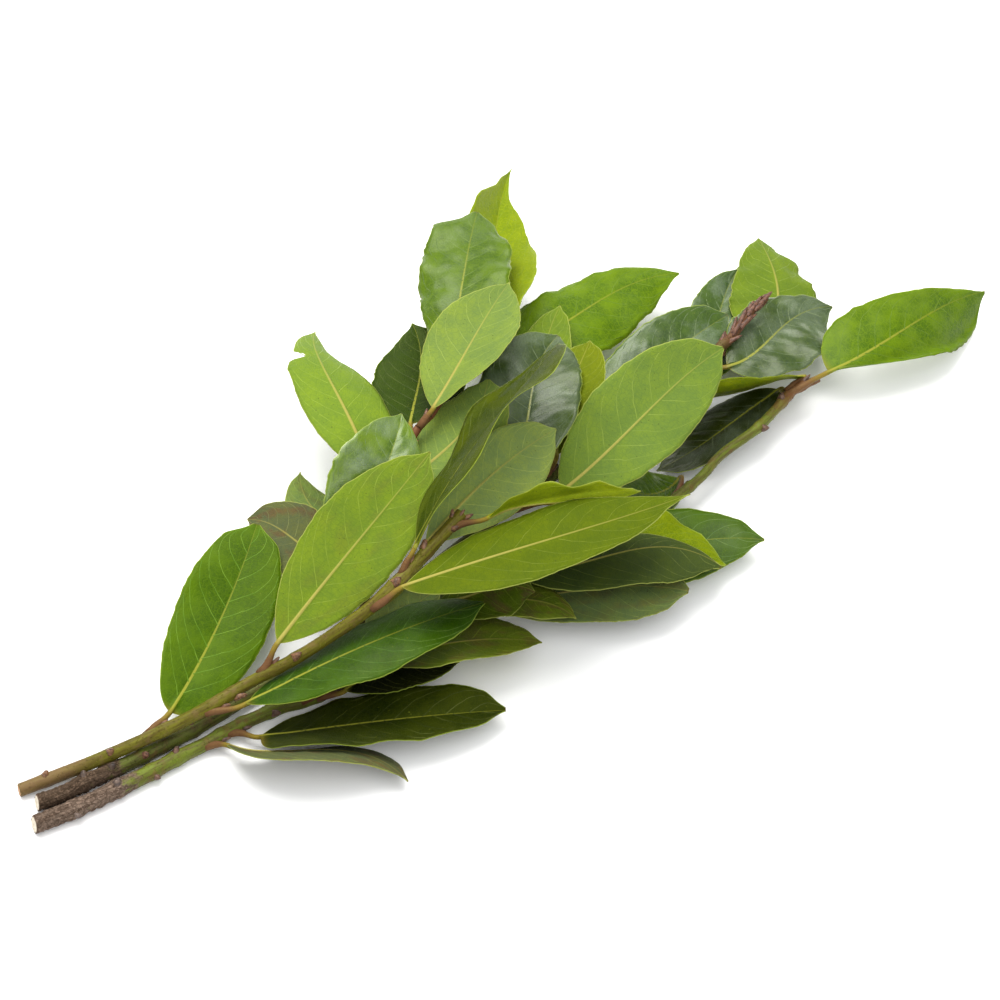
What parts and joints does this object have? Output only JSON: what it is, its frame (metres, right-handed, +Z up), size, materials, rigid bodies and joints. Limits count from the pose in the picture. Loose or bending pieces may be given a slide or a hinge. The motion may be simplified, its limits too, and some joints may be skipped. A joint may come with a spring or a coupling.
{
  "type": "bunch of bay leaf branches",
  "caption": "Loose bunch of cut bay laurel branches with glossy pointed leaves, lying flat; a kitchen herb.",
  "frame": {"origin": "middle of the bunch's bounding box, on the surface it lies on", "axes": "+Z up; +X along the bunch's longest extent, from the cut ends towards the right-hand tips; +Y away from the viewer"},
  "size_m": [0.3332, 0.2795, 0.0668],
  "materials": {
    "stem_olive": "smooth olive green young bark, satin, brown at the cut end",
    "stem_dark": "dark brown bark low down, satin green above, pale cut face",
    "stem_grey": "grey-brown cracked bark low down, satin green above, pale cut face",
    "leaf_upper": "waxy glossy green upper leaf face with pale veins",
    "leaf_underside": "matt pale green leaf underside with a raised yellow midrib"
  },
  "bodies": {
    "root": {"a_stem": "stem_olive", "b_stem": "stem_dark", "c_stem": "stem_grey", "a_leaf_1": "leaf_upper", "a_leaf_2": "leaf_underside", "a_leaf_3": "leaf_upper", "a_leaf_4": "leaf_underside", "a_leaf_5": "leaf_upper", "a_leaf_6": "leaf_upper", "a_leaf_7": "leaf_underside", "b_leaf_1": "leaf_underside", "b_leaf_2": "leaf_underside", "b_leaf_3": "leaf_upper", "b_leaf_4": "leaf_underside", "b_leaf_5": "leaf_upper", "b_leaf_6": "leaf_upper", "b_leaf_7": "leaf_underside", "b_leaf_8": "leaf_upper", "b_leaf_9": "leaf_upper", "b_leaf_10": "leaf_underside", "b_leaf_11": "leaf_underside", "b_leaf_12": "leaf_upper", "b_leaf_13": "leaf_underside", "b_leaf_14": "leaf_underside", "b_leaf_15": "leaf_upper", "b_leaf_16": "leaf_upper", "b_leaf_17": "leaf_underside", "b_leaf_18": "leaf_upper", "b_leaf_19": "leaf_upper", "b_leaf_20": "leaf_underside", "c_leaf_1": "leaf_upper", "c_leaf_2": "leaf_underside", "c_leaf_3": "leaf_upper", "c_leaf_4": "leaf_upper", "c_leaf_5": "leaf_upper", "c_leaf_6": "leaf_underside", "c_leaf_7": "leaf_underside", "c_leaf_8": "leaf_underside", "c_leaf_9": "leaf_underside", "c_leaf_10": "leaf_underside", "c_leaf_11": "leaf_upper", "c_leaf_12": "leaf_upper", "c_leaf_13": "leaf_underside"}
  },
  "joints": []
}
